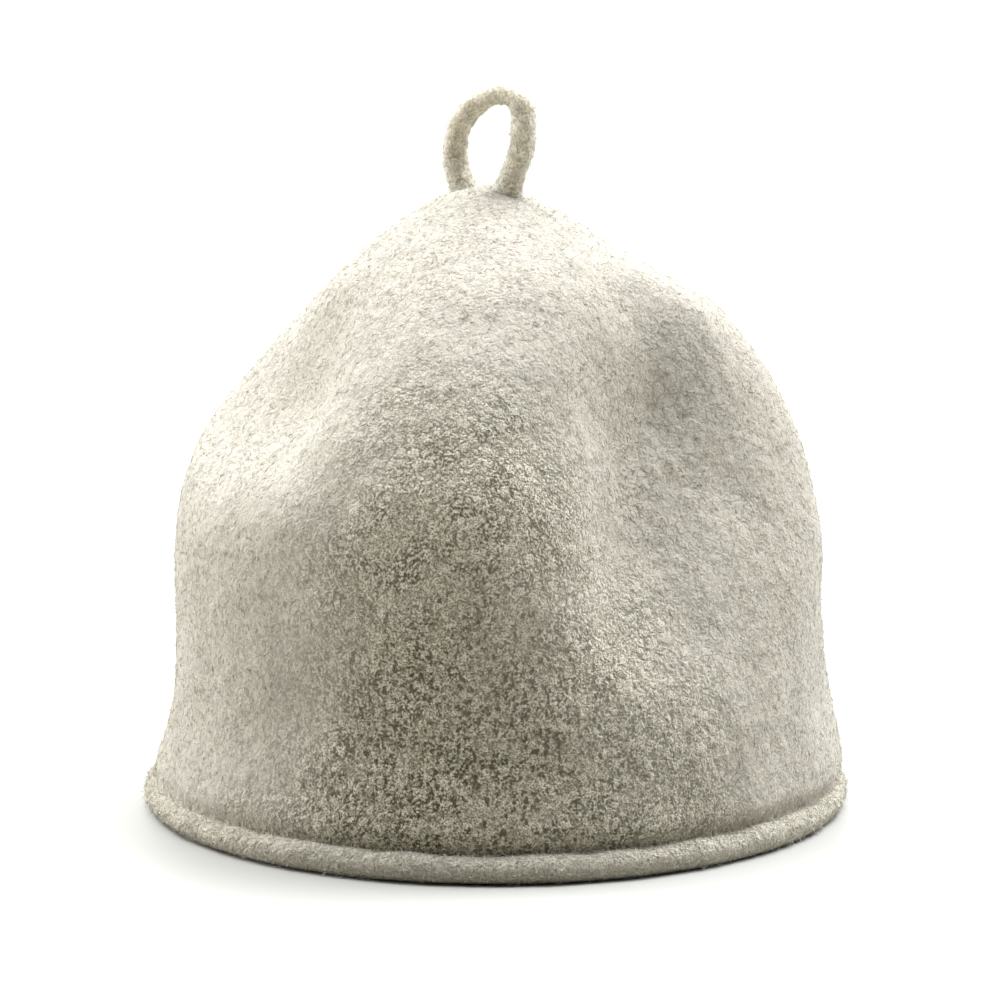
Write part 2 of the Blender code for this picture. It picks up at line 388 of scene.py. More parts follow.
class Wiring:
    """Adds nodes to one node tree and joins their sockets."""

    def __init__(self, tree: bpy.types.NodeTree) -> None:
        """Keep the tree and empty it.

        Args:
            tree: The node tree to fill.
        """
        self.tree = tree
        tree.nodes.clear()

    def node(self, kind: str, inputs: dict[str, Socket], **settings: object) -> bpy.types.Node:
        """Add a node.

        Args:
            kind: Blender's name for the node's type.
            inputs: A value or an output socket for each input named.
            **settings: Values for the node's own properties.

        Returns:
            The new node.
        """
        node = self.tree.nodes.new(kind)
        for name, value in settings.items():
            setattr(node, name, value)
        for name, value in inputs.items():
            self.feed(node.inputs[name], value)
        return node

    def feed(self, socket: bpy.types.NodeSocket, value: Socket) -> None:
        """Join an output socket to an input, or set the input's own value."""
        if isinstance(value, bpy.types.NodeSocket):
            self.tree.links.new(value, socket)
        else:
            socket.default_value = value

    def maths(self, operation: str, *values: Socket, clamp: bool = False) -> bpy.types.NodeSocket:
        """Add a Math node.

        Args:
            operation: Blender's name for the operation.
            *values: Its inputs, in order.
            clamp: Whether the result is kept between 0 and 1.

        Returns:
            The result's socket.
        """
        node = self.tree.nodes.new("ShaderNodeMath")
        node.operation = operation
        node.use_clamp = clamp
        for socket, value in zip(node.inputs, values):
            self.feed(socket, value)
        return node.outputs[0]

    def vector(self, operation: str, *values: Socket, scale: Socket = 1.0) -> bpy.types.NodeSocket:
        """Add a Vector Math node.

        Args:
            operation: Blender's name for the operation.
            *values: Its vector inputs, in order.
            scale: The factor of a SCALE operation.

        Returns:
            The result's socket.
        """
        node = self.tree.nodes.new("ShaderNodeVectorMath")
        node.operation = operation
        for socket, value in zip(node.inputs, values):
            self.feed(socket, value)
        if operation == "SCALE":
            self.feed(node.inputs["Scale"], scale)
        return node.outputs["Value" if operation in ("LENGTH", "DOT_PRODUCT") else "Vector"]

    def joined(self, x: Socket, y: Socket, z: Socket = 0.0) -> bpy.types.NodeSocket:
        """A vector of three values."""
        return self.node("ShaderNodeCombineXYZ", {"X": x, "Y": y, "Z": z}).outputs["Vector"]

    def rest(self, value: Socket) -> bpy.types.NodeSocket:
        """One less a value."""
        return self.maths("SUBTRACT", 1.0, value)

    def place(self) -> bpy.types.NodeSocket:
        """The place on the object, in its own coordinates."""
        return self.node("ShaderNodeTexCoord", {}).outputs["Object"]

    def axes(self, vector: Socket) -> bpy.types.NodeOutputs:
        """The sockets X, Y and Z of a vector."""
        return self.node("ShaderNodeSeparateXYZ", {"Vector": vector}).outputs

    def wander(self, colour: Socket, reach: float) -> bpy.types.NodeSocket:
        """A shift to any side, from a random colour."""
        return self.vector("SCALE", self.vector("SUBTRACT", colour, MIDDLE_GREY), scale=reach)

    def step(self, value: Socket, low: float, high: float) -> bpy.types.NodeSocket:
        """A smooth step from 0 to 1 as a value goes from low to high."""
        inputs = {"Value": value, "From Min": low, "From Max": high, "To Min": 0.0, "To Max": 1.0}
        node = self.node("ShaderNodeMapRange", inputs, interpolation_type="SMOOTHSTEP")
        return node.outputs["Result"]

    def noise(self, position: Socket, scale: float, detail: float, **inputs: float) -> bpy.types.Node:
        """Add a Noise Texture.

        Args:
            position: Where it is read.
            scale: Its scale.
            detail: How many finer layers it adds.
            **inputs: Values for its other inputs.

        Returns:
            The texture's node.
        """
        sockets = {"Vector": position, "Scale": scale, "Detail": detail}
        sockets.update({name.capitalize(): value for name, value in inputs.items()})
        return self.node("ShaderNodeTexNoise", sockets, noise_dimensions="3D")

    def blend(self, share: Socket, first: Socket, second: Socket) -> bpy.types.NodeSocket:
        """A colour between two others, by a share from 0 to 1."""
        node = self.tree.nodes.new("ShaderNodeMix")
        node.data_type = "RGBA"
        factor, colours = node.inputs[0], (node.inputs[6], node.inputs[7])
        self.feed(factor, share)
        for socket, value in zip(colours, (first, second)):
            self.feed(socket, (*value, 1.0) if isinstance(value, tuple) else value)
        return node.outputs[2]

    def between(self, share: Socket, first: Socket, second: Socket) -> bpy.types.NodeSocket:
        """A value between two others, by a share from 0 to 1."""
        node = self.tree.nodes.new("ShaderNodeMix")
        node.data_type = "FLOAT"
        for number, value in ((0, share), (2, first), (3, second)):
            self.feed(node.inputs[number], value)
        return node.outputs[0]


def new_group(
    name: str, inputs: Sequence[str], outputs: Sequence[str]
) -> tuple[Wiring, bpy.types.NodeOutputs]:
    """Start a shader node group with named sockets: Position is a vector and the others are values.

    Args:
        name: The group's name.
        inputs: The inputs' names.
        outputs: The outputs' names.

    Returns:
        The wiring of the group, whose tree has the sockets, and the inputs' sockets inside it.
    """
    tree = bpy.data.node_groups.new(name, "ShaderNodeTree")
    for way, sockets in (("INPUT", inputs), ("OUTPUT", outputs)):
        for socket in sockets:
            kind = "NodeSocketVector" if socket == "Position" else "NodeSocketFloat"
            tree.interface.new_socket(name=socket, in_out=way, socket_type=kind)
    wiring = Wiring(tree)
    return wiring, wiring.node("NodeGroupInput", {}).outputs


def sized(wiring: Wiring, given: bpy.types.NodeOutputs) -> bpy.types.NodeSocket:
    """The group's Position in units of its Size."""
    units = wiring.maths("DIVIDE", 1.0, given["Size"])
    return wiring.vector("SCALE", given["Position"], scale=units)


def fulled_pebbles() -> bpy.types.NodeTree:
    """Group of the rounded pebbles that fulling makes of the stitches.

    Returns:
        A group with Position and Size that puts out Height and Gaps, both from 0 to 1.
    """
    wiring, given = new_group("fulled_pebbles", ["Position", "Size"], ["Height", "Gaps"])
    place = sized(wiring, given)
    drift = wiring.noise(place, 1.7, 1.0).outputs["Color"]
    warped = wiring.vector("ADD", place, wiring.wander(drift, 1.0))
    cells = wiring.node(
        "ShaderNodeTexVoronoi", {"Vector": warped, "Scale": 1.0},
        voronoi_dimensions="3D", feature="DISTANCE_TO_EDGE",
    )
    from_edge = cells.outputs["Distance"]
    frayed = wiring.noise(place, 4.2, 0.0).outputs["Fac"]
    dome = wiring.step(wiring.maths("MULTIPLY_ADD", frayed, 0.16, from_edge), 0.04, 0.46)
    gaps = wiring.step(wiring.maths("MULTIPLY_ADD", frayed, 0.75, from_edge), 0.28, 0.58)
    tight = wiring.step(wiring.noise(place, 0.36, 0.0).outputs["Fac"], 0.38, 0.62)
    gaps = wiring.maths("MULTIPLY", wiring.rest(gaps), wiring.maths("MULTIPLY_ADD", tight, 0.45, 0.55))
    wiring.node("NodeGroupOutput", {"Height": dome, "Gaps": gaps})
    return wiring.tree


def wool_grain() -> bpy.types.NodeTree:
    """Group of the finest grain, where fibres cross and mat.

    Returns:
        A group with Position and Size that puts out Grain, from 0 to 1.
    """
    wiring, given = new_group("wool_grain", ["Position", "Size"], ["Grain"])
    place = sized(wiring, given)
    grain = wiring.noise(place, 1.0, 1.5, roughness=0.62).outputs["Fac"]
    wiring.node("NodeGroupOutput", {"Grain": wiring.step(grain, 0.34, 0.66)})
    return wiring.tree


def curly_fibres() -> bpy.types.NodeTree:
    """Group of thin curly lines, like wool fibres that lie on the surface.

    Returns:
        A group with Position and Size that puts out Fibres, from 0 to 1.
    """
    wiring, given = new_group("curly_fibres", ["Position", "Size"], ["Fibres"])
    place = sized(wiring, given)
    lines: list[bpy.types.NodeSocket] = []
    for scale, shift in ((1.2, (0.0, 0.0, 0.0)), (1.9, (1.9, 9.2, 3.3))):
        moved = wiring.vector("ADD", place, shift)
        wave = wiring.noise(moved, scale, 1.0).outputs["Fac"]
        away = wiring.maths("ABSOLUTE", wiring.maths("SUBTRACT", wave, 0.5))
        lines.append(wiring.rest(wiring.step(away, 0.0, 0.05)))
    wiring.node("NodeGroupOutput", {"Fibres": wiring.maths("MAXIMUM", *lines)})
    return wiring.tree


def felting_patches() -> bpy.types.NodeTree:
    """Group of broad, faint patches where the wool felted more or less closely.

    Returns:
        A group with Position and Size that puts out Patches, from 0 to 1.
    """
    wiring, given = new_group("felting_patches", ["Position", "Size"], ["Patches"])
    patches = wiring.noise(sized(wiring, given), 1.0, 1.0).outputs["Fac"]
    wiring.node("NodeGroupOutput", {"Patches": wiring.step(patches, 0.30, 0.70)})
    return wiring.tree


def knit_gaps() -> bpy.types.NodeTree:
    """Group of the small holes and cracks left between stitches, at the corners of a drifting grid.

    Returns:
        A group with Position, in stitches, Across and Up, both counted in stitches, Columns, the
        number of stitches round the hat, and Open, the share of holes that stayed open, which
        puts out Gaps from 0 to 1.
    """
    names = ["Position", "Across", "Up", "Columns", "Open"]
    wiring, given = new_group("knit_gaps", names, ["Gaps"])
    place = given["Position"]
    drift = wiring.noise(place, 0.30, 0.0).outputs["Color"]
    stitch = wiring.joined(given["Across"], given["Up"])
    stitch = wiring.vector("ADD", stitch, wiring.wander(drift, 1.6))
    stitch = wiring.vector("MULTIPLY", stitch, (1.0, 1.0, 0.0))
    cell = wiring.vector("FLOOR", wiring.vector("ADD", stitch, (0.5, 0.5, 0.0)))
    away = wiring.vector("SUBTRACT", stitch, cell)
    corner = wiring.axes(cell)
    column = wiring.maths("FLOORED_MODULO", corner["X"], given["Columns"])
    offset = wiring.node(
        "ShaderNodeTexWhiteNoise", {"Vector": wiring.joined(column, corner["Y"])},
        noise_dimensions="2D",
    ).outputs
    away = wiring.vector("ADD", away, wiring.wander(offset["Color"], 0.45))
    away = wiring.vector("MULTIPLY", away, (1.0, 0.72, 0.0))
    size = wiring.vector("LENGTH", away)
    frayed = wiring.noise(place, 3.2, 1.0).outputs["Fac"]
    size = wiring.maths("MULTIPLY_ADD", wiring.step(frayed, 0.3, 0.7), 0.48, size)
    hole = wiring.rest(wiring.step(size, 0.40, 0.64))
    chance = wiring.maths("SUBTRACT", given["Open"], offset["Value"])
    hole = wiring.maths("MULTIPLY", hole, wiring.step(chance, -0.05, 0.28))
    ribs = wiring.maths("MULTIPLY", wiring.axes(stitch)["X"], 2 * math.pi)
    ribs = wiring.maths("COSINE", ribs)
    along = wiring.vector("MULTIPLY", place, (0.8, 0.8, 0.18))
    torn = wiring.noise(along, 1.0, 1.0).outputs["Fac"]
    crack = wiring.maths("MULTIPLY", wiring.step(ribs, 0.55, 1.0), wiring.step(torn, 0.56, 0.70))
    crack = wiring.maths("MULTIPLY", crack, wiring.step(given["Open"], 0.10, 0.55))
    gaps = wiring.maths("MAXIMUM", hole, wiring.maths("MULTIPLY", crack, 0.65))
    wiring.node("NodeGroupOutput", {"Gaps": gaps})
    return wiring.tree


@dataclass(frozen=True)
class FeltEffects:
    """The node groups that every felt shares."""

    pebbles: bpy.types.NodeTree
    grain: bpy.types.NodeTree
    fibres: bpy.types.NodeTree
    patches: bpy.types.NodeTree
    gaps: bpy.types.NodeTree


@dataclass(frozen=True)
class Knit:
    """The stitches that still show through the felt."""

    columns: int = 232
    stitch: float = 0.0026
    course: float = 0.0021
    lowest: float = 0.040
    highest: float = 0.128
    open_low: float = 0.56
    open_high: float = 0.06


@dataclass(frozen=True)
class Crack:
    """A short open crack on the front, from one place to another, both as x and z."""

    start: tuple[float, float]
    end: tuple[float, float]
    half_width: float


CRACKS = (
    Crack((0.0091, 0.1005), (0.0127, 0.0957), 0.00050),
    Crack((0.0098, 0.0850), (0.0102, 0.0826), 0.00040),
    Crack((0.0139, 0.0540), (0.0150, 0.0475), 0.00035),
    Crack((0.0170, 0.0415), (0.0179, 0.0330), 0.00035),
)


@dataclass(frozen=True)
class FeltFinish:
    """Fulled wool: its colours, its grain and how strongly they show."""

    slot: Slot
    base: Colour
    # Painted shade colour: it darkens the gaps, holes and cracks, the grain's low spots, the crease
    # over the roll and the roll's underside.
    painted_shade_colour: Colour
    fibre: Colour
    pebble_size: float
    relief: float
    pebble_share: float = 0.16
    pebble_rise: float = 0.50
    gap_drop: float = 0.4
    grain_size: float = 0.00062
    grain_share: float = 0.80
    grain_rise: float = 0.22
    fibre_size: float = 0.0013
    fibre_share: float = 0.60
    fibre_rise: float = 0.12
    patch_size: float = 0.045
    patch_swing: float = 0.06
    calm: Colour | None = None
    calm_share: float = 0.80
    # The front where the grain and gaps keep their painted shade for the grazing light there, as limits
    # along -Y.
    grazed_front: tuple[float, float] = (0.054, 0.102)
    grazed_front_drift: float = 0.015
    knit: Knit | None = None
    cracks: tuple[Crack, ...] = ()
    through: float = 0.0
    through_tint: Colour = (1.0, 0.9, 0.75)
    through_depth: float = 0.004
    sheen: float = 0.2
    sheen_roughness: float = 0.45
    roughness: float = 0.95

    def stitch_gaps(self, wiring: Wiring, group: bpy.types.NodeTree) -> bpy.types.NodeSocket:
        """The open gaps between the stitches, counted round the hat.

        Args:
            wiring: The material's wiring.
            group: The effect's node group.

        Returns:
            A mask's socket, 1 in a gap.
        """
        place = wiring.place()
        axes = wiring.axes(place)
        up = wiring.maths("DIVIDE", axes["Z"], self.knit.course)
        low = wiring.rest(wiring.step(axes["Z"], self.knit.lowest, self.knit.highest))
        still_open = wiring.between(low, self.knit.open_high, self.knit.open_low)
        azimuth = wiring.maths("ARCTAN2", axes["X"], wiring.maths("MULTIPLY", axes["Y"], -1.0))
        across = wiring.maths("MULTIPLY", azimuth, self.knit.columns / (2 * math.pi))
        inputs = {
            "Position": wiring.vector("SCALE", place, scale=1 / self.knit.stitch),
            "Across": across, "Up": up, "Columns": float(self.knit.columns), "Open": still_open,
        }
        return wiring.node("ShaderNodeGroup", inputs, node_tree=group).outputs["Gaps"]

    def crack_gaps(self, wiring: Wiring) -> bpy.types.NodeSocket:
        """The few long cracks on the front.

        Args:
            wiring: The material's wiring.

        Returns:
            A mask's socket, 1 in a crack.
        """
        place = wiring.place()
        drift = wiring.wander(wiring.noise(place, 900.0, 0.0).outputs["Color"], 0.0010)
        flat = wiring.vector("MULTIPLY", wiring.vector("ADD", place, drift), (1.0, 0.0, 1.0))
        nearest: Socket = 1.0
        for crack in self.cracks:
            start = (crack.start[0], 0.0, crack.start[1])
            run = (crack.end[0] - crack.start[0], 0.0, crack.end[1] - crack.start[1])
            length = math.hypot(run[0], run[2])
            way = wiring.vector("SUBTRACT", flat, start)
            along = wiring.vector("DOT_PRODUCT", way, run)
            along = wiring.maths("DIVIDE", along, length * length, clamp=True)
            off = wiring.vector("SUBTRACT", way, wiring.vector("SCALE", run, scale=along))
            ends = wiring.maths("MULTIPLY", along, wiring.rest(along))
            widest, narrowest = 3.0 * crack.half_width, 0.35 * crack.half_width
            width = wiring.maths("MULTIPLY_ADD", ends, widest, narrowest)
            gone = wiring.maths("DIVIDE", wiring.vector("LENGTH", off), width)
            nearest = wiring.maths("MINIMUM", nearest, wiring.maths("MULTIPLY", gone, 0.5))
        open_here = wiring.rest(wiring.step(nearest, 0.25, 0.75))
        front = wiring.rest(wiring.step(wiring.axes(place)["Y"], -0.02, 0.0))
        return wiring.maths("MULTIPLY", open_here, front)

    def material(self, effects: FeltEffects) -> bpy.types.Material:
        """The felt's material.

        Args:
            effects: The node groups that every felt shares.

        Returns:
            The material, named after its slot.
        """
        material = bpy.data.materials.new(self.slot.value)
        material.use_nodes = True
        wiring = Wiring(material.node_tree)
        place = wiring.place()
        sizes = {
            effects.pebbles: self.pebble_size, effects.grain: self.grain_size,
            effects.fibres: self.fibre_size, effects.patches: self.patch_size,
        }
        pebbles, grain, fibres, patches = (
            wiring.node("ShaderNodeGroup", {"Position": place, "Size": size}, node_tree=group).outputs
            for group, size in sizes.items()
        )
        grain, fibres, patches = grain["Grain"], fibres["Fibres"], patches["Patches"]
        gaps = wiring.maths("MULTIPLY", pebbles["Gaps"], self.pebble_share)
        height = wiring.maths("MULTIPLY", pebbles["Height"], self.pebble_rise)
        height = wiring.maths("MULTIPLY_ADD", grain, self.grain_rise, height)
        height = wiring.maths("MULTIPLY_ADD", fibres, self.fibre_rise, height)
        height = wiring.maths("MULTIPLY_ADD", gaps, -self.gap_drop, height)
        if self.knit:
            gaps = wiring.maths("MAXIMUM", gaps, self.stitch_gaps(wiring, effects.gaps))
        if self.cracks:
            gaps = wiring.maths("MAXIMUM", gaps, self.crack_gaps(wiring))
        pale = tuple(channel * (1 + self.patch_swing) for channel in self.base)
        dull = tuple(channel * (1 - self.patch_swing) for channel in self.base)
        colour = wiring.blend(patches, dull, pale)
        # Painted shade: the grain's low spots take the shade colour, for the shade between matted
        # fibres.
        dark = wiring.maths("MULTIPLY", wiring.rest(grain), self.grain_share)
        colour = wiring.blend(dark, colour, self.painted_shade_colour)
        lit = wiring.maths("MULTIPLY", fibres, self.fibre_share)
        colour = wiring.blend(lit, colour, self.fibre)
        # The pebble gaps, knit holes and cracks are real; their dark is painted shade.
        colour = wiring.blend(gaps, colour, self.painted_shade_colour)
        if self.calm:
            smooth = self.smoothness(wiring, patches)
            colour = wiring.blend(smooth, colour, self.calm)
            height = wiring.maths("MULTIPLY", height, wiring.rest(smooth))
        # Painted shade: the crease over the roll and the roll's underside darken towards the shade
        # colour.
        colour = wiring.blend(self.painted_shade(wiring), colour, self.painted_shade_colour)
        bump = wiring.node(
            "ShaderNodeBump", {"Height": height, "Strength": 1.0, "Distance": self.relief}
        )
        shader = wiring.node(
            "ShaderNodeBsdfPrincipled",
            {
                "Base Color": colour,
                "Normal": bump.outputs["Normal"],
                "Roughness": self.roughness,
                "Specular IOR Level": WOOL_SPECULAR,
                "Subsurface Weight": self.through,
                "Subsurface Radius": self.through_tint,
                "Subsurface Scale": self.through_depth,
                "Sheen Weight": self.sheen,
                "Sheen Roughness": self.sheen_roughness,
            },
        )
        wiring.node("ShaderNodeOutputMaterial", {"Surface": shader.outputs["BSDF"]})
        material.diffuse_color = (*self.base, 1.0)
        return material

    def smoothness(self, wiring: Wiring, patches: bpy.types.NodeSocket) -> bpy.types.NodeSocket:
        """How far the painted shade of the grain and gaps, and the relief, fade to the calm colour: not
        at all on the front, where the light grazes the wall, and most towards the back.

        Args:
            wiring: The material's wiring.
            patches: The mask of the felting patches.

        Returns:
            A mask's socket, 0 on the front, where the painted shade is kept full.
        """
        back = wiring.axes(wiring.place())["Y"]
        back = wiring.maths("MULTIPLY_ADD", patches, self.grazed_front_drift, back)
        grazed_front = wiring.step(wiring.maths("MULTIPLY", back, -1.0), *self.grazed_front)
        return wiring.maths("MULTIPLY", wiring.rest(grazed_front), self.calm_share)

    def painted_shade(self, wiring: Wiring) -> bpy.types.NodeSocket:
        """The mask of painted shade, read from the vertices: the crease over the roll and the roll's
        underside.
        """
        return wiring.node("ShaderNodeAttribute", {}, attribute_name="painted_shade").outputs["Fac"]


@dataclass(frozen=True)
class NapFinish:
    """Loose wool fibres, from dull to nearly white."""

    name: str
    dull: Colour
    pale: Colour
    roughness: float = 0.9

    def material(self) -> bpy.types.Material:
        """The fibres' material, which takes each fibre's tone from its attribute.

        Returns:
            The material.
        """
        material = bpy.data.materials.new(self.name)
        material.use_nodes = True
        wiring = Wiring(material.node_tree)
        tone = wiring.node("ShaderNodeAttribute", {}, attribute_name="tone").outputs["Fac"]
        colour = wiring.blend(tone, self.dull, self.pale)
        shader = wiring.node(
            "ShaderNodeBsdfPrincipled",
            {"Base Color": colour, "Roughness": self.roughness, "Specular IOR Level": WOOL_SPECULAR},
        )
        wiring.node("ShaderNodeOutputMaterial", {"Surface": shader.outputs["BSDF"]})
        material.diffuse_color = (*self.pale, 1.0)
        return material


def place_object(name: str, mesh: bpy.types.Mesh, material: bpy.types.Material) -> bpy.types.Object:
    """Put a finished mesh in the scene, smooth-shaded and at the origin.

    Args:
        name: The piece's name.
        mesh: Its mesh, in place.
        material: Its material.

    Returns:
        The new object.
    """
    mesh.shade_smooth()
    mesh.materials.append(material)
    piece = bpy.data.objects.new(name, mesh)
    bpy.context.collection.objects.link(piece)
    return piece


def mesh_of(shape: bmesh.types.BMesh, name: str) -> bpy.types.Mesh:
    """Turn a bmesh into a mesh with its doubles merged and its faces pointing out."""
    bmesh.ops.remove_doubles(shape, verts=shape.verts, dist=MERGE_DISTANCE)
    bmesh.ops.recalc_face_normals(shape, faces=shape.faces)
    mesh = bpy.data.meshes.new(name)
    shape.to_mesh(mesh)
    shape.free()
    return mesh


def vertex_rows(mesh: bpy.types.Mesh, kind: str) -> Array:
    """The vertices' places (co) or outward directions (normal), one row of x, y and z each."""
    rows = np.empty(len(mesh.vertices) * 3)
    mesh.vertices.foreach_get(kind, rows)
    return rows.reshape(-1, 3)


def vertex_values(mesh: bpy.types.Mesh, name: str) -> Array:
    """The values of a vertex layer."""
    values = np.empty(len(mesh.vertices))
    mesh.attributes[name].data.foreach_get("value", values)
    return values


def move_vertices(mesh: bpy.types.Mesh, places: Array) -> None:
    """Move the mesh's vertices to new places."""
    mesh.vertices.foreach_set("co", places.ravel())
    mesh.update()


def turn_round(shape: bmesh.types.BMesh, outline: Outline, steps: int) -> None:
    """Turn an outline of vertices and edges once about Z."""
    bmesh.ops.spin(
        shape, geom=outline, axis=(0, 0, 1), cent=(0, 0, 0),
        angle=2 * math.pi, steps=steps, use_merge=True,
    )


def mark_painted_shade(mesh: bpy.types.Mesh, shares: Array) -> None:
    """Store how much painted shade each vertex takes, in the crease over the roll or on the roll's
    underside, from 0 to 1.
    """
    layer = mesh.attributes.new("painted_shade", "FLOAT", "POINT")
    layer.data.foreach_set("value", np.clip(shares, 0, 1))


# Heights of a fibre's four stations as shares of its lift: arched, and rising to a free end.
STATION_HEIGHTS = ((0.0, 0.0), (0.9, 0.2), (0.9, 0.55), (0.0, 1.0))


@dataclass(frozen=True)
class Nap:
    """Loose curly fibres rooted on a felt, all in one piece."""

    name: str
    seed: int
    shortest: float = 0.0012
    longest: float = 0.0030
    thickness: float = 0.000055
    curl: float = 2.0
    lift: float = 0.00045
    highest_lift: float = 4.0
    sink: float = 0.00008
    loose_sink: float = 0.3
    thickness_spread: tuple[float, float] = (0.6, 1.4)

    @staticmethod
    def spindle() -> bmesh.types.BMesh:
        """One straight fibre along Z from 0 to 1: a three-sided rod of radius 1 with pointed ends."""
        rod = bmesh.new()
        bmesh.ops.create_cone(
            rod, cap_ends=True, segments=3, radius1=1, radius2=1, depth=1 / 3,
            matrix=Matrix.Translation((0, 0, 0.5)),
        )
        caps = [face for face in rod.faces if len(face.verts) == 3]
        tips = bmesh.ops.poke(rod, faces=caps)["verts"]
        for tip in tips:
            tip.co = (0, 0, 1.0 if tip.co.z > 0.5 else 0.0)
        bmesh.ops.recalc_face_normals(rod, faces=rod.faces)
        rod.verts.index_update()
        return rod

    def centre_lines(self, roots: Array, normals: Array, random: np.random.Generator) -> Array:
        """The fibres' centre lines, at four stations each.

        Args:
            roots: Where the fibres are rooted.
            normals: The felt's outward directions there.
            random: The source of the fibres' differences.

        Returns:
            Places by fibre, station and axis.
        """
        count = len(roots)
        side = np.cross(normals, random.normal(size=(count, 3)))
        side /= np.linalg.norm(side, axis=1)[:, None]
        ahead = np.cross(side, normals)
        length = random.uniform(self.shortest, self.longest, count)
        turning = random.normal(0, self.curl, count)
        lift = self.lift * random.exponential(1.0, count).clip(0, self.highest_lift)
        arched = random.random(count) < 0.5
        line = np.zeros((count, 4, 3))
        for station in range(1, 4):
            angle = turning * ((station - 0.5) / 3 - 0.5)
            step = ahead * np.cos(angle)[:, None] + side * np.sin(angle)[:, None]
            line[:, station] = line[:, station - 1] + step * (length / 3)[:, None]
        for station, (arch, rise) in enumerate(STATION_HEIGHTS):
            sunk = self.sink * (1 if station == 0 else self.loose_sink)
            height = lift * np.where(arched, arch, rise) - sunk
            line[:, station] += normals * height[:, None]
        return line + (roots - line[:, 1] * 0.5)[:, None]

    def build(self, roots: Array, normals: Array, material: bpy.types.Material) -> bpy.types.Object:
        """Root the fibres and join them to one mesh.

        Args:
            roots: Where the fibres are rooted.
            normals: The felt's outward directions there.
            material: The fibres' material.

        Returns:
            The nap's object.
        """
        random = np.random.default_rng(self.seed)
        count = len(roots)
        line = self.centre_lines(roots, normals, random)
        direction = np.gradient(line, axis=1)
        direction /= np.linalg.norm(direction, axis=2)[:, :, None]
        side = np.cross(direction, normals[:, None])
        side /= np.linalg.norm(side, axis=2)[:, :, None] + MERGE_DISTANCE
        top = np.cross(side, direction)
        radius = self.thickness * random.uniform(*self.thickness_spread, count)[:, None]
        rod = self.spindle()
        corners = []
        for vertex in rod.verts:
            station = round(vertex.co.z * 3)
            offset = side[:, station] * vertex.co.x + top[:, station] * vertex.co.y
            corners.append(line[:, station] + offset * radius)
        faces = [[vertex.index for vertex in face.verts] for face in rod.faces]
        rod.free()
        places = np.stack(corners, axis=1)
        places[:, :, 2] = places[:, :, 2].clip(0.0, None)
        mesh = joined_copies(self.name, places, faces)
        tone = mesh.attributes.new("tone", "FLOAT", "POINT")
        tone.data.foreach_set("value", np.repeat(random.random(count), len(corners)))
        return place_object(self.name, mesh, material)


def joined_copies(name: str, corners: Array, faces: Sequence[Sequence[int]]) -> bpy.types.Mesh:
    """One mesh of many copies of a small shape.

    Args:
        name: The mesh's name.
        corners: Places by copy, vertex and axis.
        faces: The vertices round each face of one copy.

    Returns:
        The mesh.
    """
    copies, size = corners.shape[:2]
    ring = np.concatenate([np.array(face) for face in faces])
    lengths = np.tile([len(face) for face in faces], copies)
    starts = np.concatenate(((0,), np.cumsum(lengths)[:-1]))
    loops = (ring[None, :] + np.arange(copies)[:, None] * size).ravel()
    mesh = bpy.data.meshes.new(name)
    mesh.vertices.add(copies * size)
    mesh.vertices.foreach_set("co", corners.ravel())
    mesh.loops.add(len(loops))
    mesh.loops.foreach_set("vertex_index", loops.astype(np.int32))
    mesh.polygons.add(len(lengths))
    mesh.polygons.foreach_set("loop_start", starts.astype(np.int32))
    mesh.update(calc_edges=True)
    mesh.validate()
    return mesh


